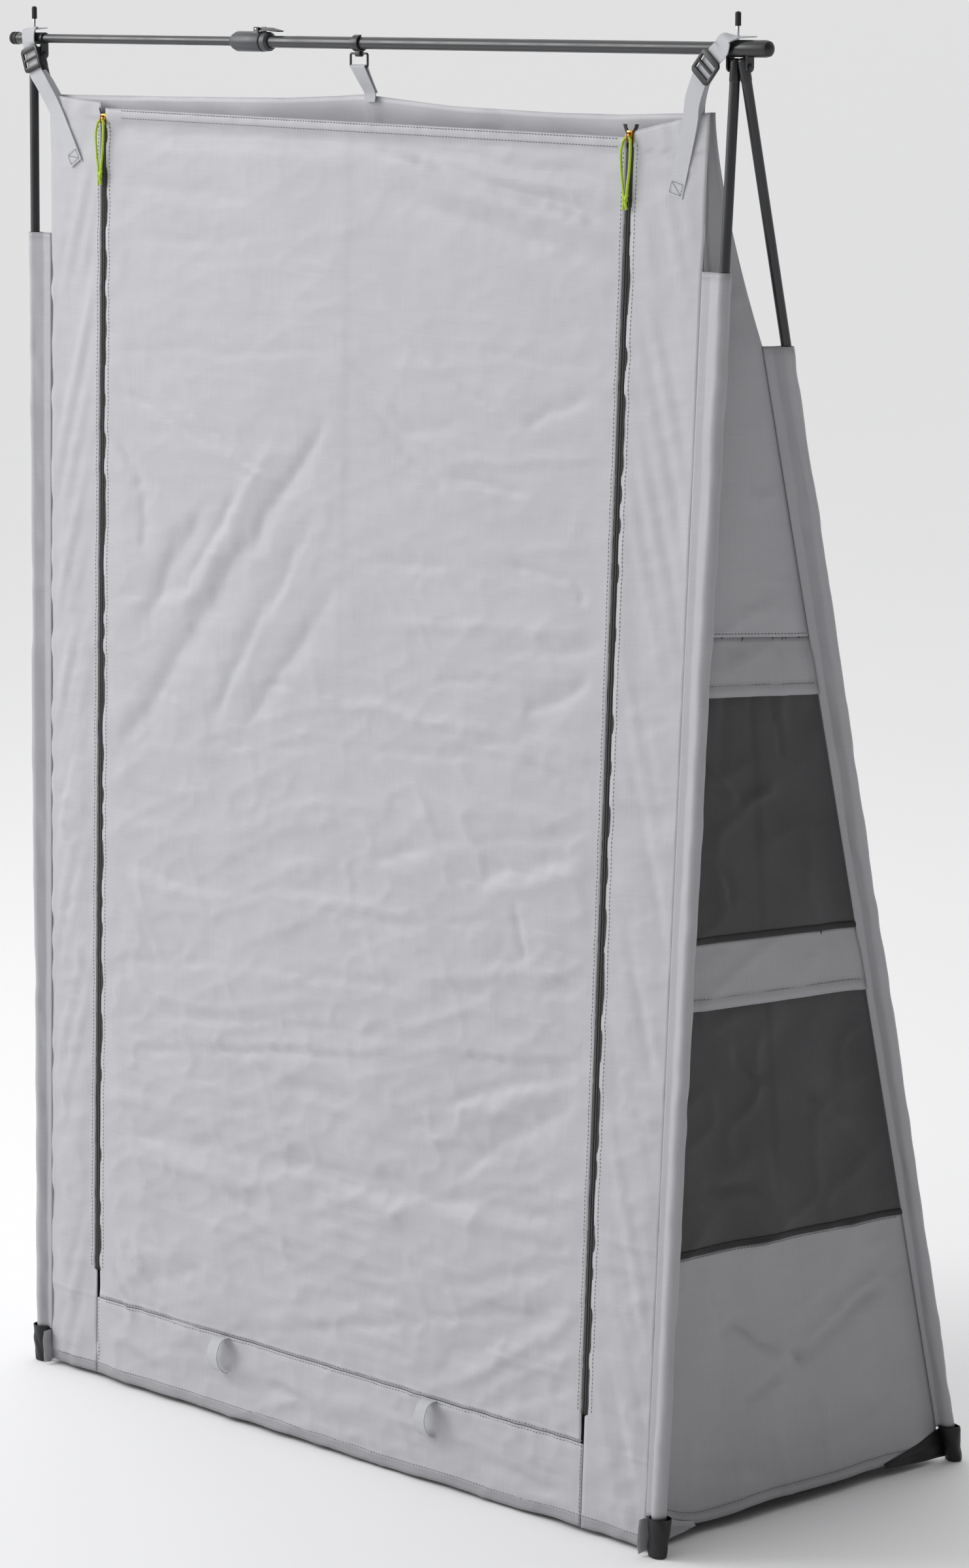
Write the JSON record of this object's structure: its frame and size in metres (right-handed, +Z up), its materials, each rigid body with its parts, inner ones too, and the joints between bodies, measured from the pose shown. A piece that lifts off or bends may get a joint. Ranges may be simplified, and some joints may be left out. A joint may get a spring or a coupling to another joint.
{
  "type": "privacy shower tent",
  "caption": "Fabric cover hung in a folding A-frame under a telescopic top rail, with a zipped drop-down front, mesh side windows and booted feet.",
  "frame": {"origin": "on the ground, in the middle of the bounding box's base", "axes": "+X along the top rail towards its wide tube, +Y from the zipped front towards the rear wall, +Z up"},
  "size_m": [1.428, 0.5969, 1.9445],
  "materials": {
    "black_plastic": "black moulded plastic",
    "boot_vinyl": "black coated fabric with a soft shine",
    "brass": "dull brass-coloured casting",
    "collar_plastic": "dark grey moulded plastic, satin",
    "front_fabric": "pale grey coated polyester, thin and wrinkled",
    "mesh_fabric": "charcoal mesh",
    "neon_cord": "neon yellow-green braided cord",
    "rubber": "black rubber",
    "sleeve_fabric": "grey coated polyester, gathered",
    "steel": "bright zinc plate",
    "tube_paint": "charcoal powder coat, satin",
    "wall_fabric": "grey coated polyester, thin and wrinkled",
    "webbing": "pale grey woven webbing",
    "zip_tape": "black coil zip tape"
  },
  "bodies": {
    "right_frame": {"outer_rail": "tube_paint", "apex_fitting_right": "black_plastic", "rail_collar": "collar_plastic", "lever_pin": "steel", "spike_right": "steel", "pivot_pin_right": "steel", "front_leg_right": "tube_paint", "front_boot_right": "boot_vinyl", "corner_strap_right": "webbing", "buckle_right": "black_plastic", "front_sill": "front_fabric", "door_tie_left": "webbing", "door_tie_right": "webbing", "front_strip_right": "front_fabric", "front_sleeve_right": "sleeve_fabric", "side_upper_right": "wall_fabric", "side_mesh_upper_right": "mesh_fabric", "side_mesh_lower_right": "mesh_fabric", "side_flap_upper_right": "wall_fabric", "side_flap_lower_right": "wall_fabric", "side_lower_right": "wall_fabric"},
    "left_frame": {"inner_rail": "tube_paint", "rail_end_cap": "rubber", "apex_fitting_left": "black_plastic", "spike_left": "steel", "pivot_pin_left": "steel", "front_leg_left": "tube_paint", "front_boot_left": "boot_vinyl", "corner_strap_left": "webbing", "buckle_left": "black_plastic", "front_strip_left": "front_fabric", "front_sleeve_left": "sleeve_fabric", "side_upper_left": "wall_fabric", "side_mesh_upper_left": "mesh_fabric", "side_mesh_lower_left": "mesh_fabric", "side_flap_upper_left": "wall_fabric", "side_flap_lower_left": "wall_fabric", "side_lower_left": "wall_fabric"},
    "rear_frame_right": {"rear_leg_right": "tube_paint", "rear_boot_right": "boot_vinyl", "rear_sleeve_right": "sleeve_fabric", "rear_panel": "wall_fabric"},
    "rear_frame_left": {"rear_leg_left": "tube_paint", "rear_boot_left": "boot_vinyl", "rear_sleeve_left": "sleeve_fabric"},
    "lever": {"cam_lever": "black_plastic"},
    "zip_line_left": {"zip_left_frame_half": "zip_tape"},
    "zip_line_right": {"zip_right_frame_half": "zip_tape"},
    "slider_left": {"zip_slider_left": "brass", "pull_cord_left": "neon_cord"},
    "slider_right": {"zip_slider_right": "brass", "pull_cord_right": "neon_cord"},
    "door": {"door_panel": "front_fabric", "zip_left_door_half": "zip_tape", "zip_right_door_half": "zip_tape"},
    "hanger": {"rail_clip": "black_plastic", "strap_ring": "black_plastic", "centre_strap": "webbing"},
    "tip_left": {"spike_tip_left": "rubber"},
    "tip_right": {"spike_tip_right": "rubber"}
  },
  "joints": [
    {"name": "rail_slide", "type": "slide", "parent": "right_frame", "child": "left_frame", "axis": [1, 0, 0], "range_m": [0, 0.25], "deforming": ["front_sill", "front_strip_right", "front_strip_left", "door_panel", "zip_left_door_half", "zip_right_door_half", "rear_panel"]},
    {"name": "right_leg_fold", "type": "hinge", "parent": "right_frame", "child": "rear_frame_right", "pos_m": [0.66364, -0.2225, 1.878], "axis": [-1, 0, 0], "range_deg": [0, 12], "deforming": ["side_upper_right", "side_mesh_upper_right", "side_mesh_lower_right", "side_flap_upper_right", "side_flap_lower_right", "side_lower_right"]},
    {"name": "left_leg_fold", "type": "hinge", "parent": "left_frame", "child": "rear_frame_left", "pos_m": [-0.66114, -0.2225, 1.878], "axis": [-1, 0, 0], "range_deg": [0, 12], "deforming": ["side_upper_left", "side_mesh_upper_left", "side_mesh_lower_left", "side_flap_upper_left", "side_flap_lower_left", "side_lower_left"]},
    {"name": "cam_lever_turn", "type": "hinge", "parent": "right_frame", "child": "lever", "pos_m": [-0.196, -0.2225, 1.9165], "axis": [0, -1, 0], "range_deg": [0, 100]},
    {"name": "left_zip_shift", "type": "slide", "parent": "right_frame", "child": "zip_line_left", "axis": [1, 0, 0], "range_m": [0, 0.25]},
    {"name": "right_zip_shift", "type": "slide", "parent": "right_frame", "child": "zip_line_right", "axis": [1, 0, 0], "range_m": [0, 0.25]},
    {"name": "hanger_shift", "type": "slide", "parent": "right_frame", "child": "hanger", "axis": [1, 0, 0], "range_m": [0, 0.25]},
    {"name": "door_drop", "type": "hinge", "parent": "right_frame", "child": "door", "pos_m": [-0.014, -0.28342, 0.118], "axis": [1, 0, 0], "range_deg": [0, 93.5]},
    {"name": "left_slider_run", "type": "slide", "parent": "zip_line_left", "child": "slider_left", "axis": [0.0102, -0.0346, -0.9993], "range_m": [0, 1.62]},
    {"name": "right_slider_run", "type": "slide", "parent": "zip_line_right", "child": "slider_right", "axis": [-0.0102, -0.0346, -0.9993], "range_m": [0, 1.62]},
    {"name": "left_tip_pull", "type": "slide", "parent": "left_frame", "child": "tip_left", "axis": [0, 0, 1], "range_m": [0, 0.03]},
    {"name": "right_tip_pull", "type": "slide", "parent": "right_frame", "child": "tip_right", "axis": [0, 0, 1], "range_m": [0, 0.03]}
  ],
  "couplings": [
    {"joint": "left_leg_fold", "follows": "right_leg_fold", "ratio": 1},
    {"joint": "left_zip_shift", "follows": "rail_slide", "ratio": 0.8835},
    {"joint": "right_zip_shift", "follows": "rail_slide", "ratio": 0.1286},
    {"joint": "hanger_shift", "follows": "rail_slide", "ratio": 0.5},
    {"joint": "left_slider_run", "follows": "door_drop", "m_per_rad": 0.9927},
    {"joint": "right_slider_run", "follows": "door_drop", "m_per_rad": 0.9927}
  ]
}
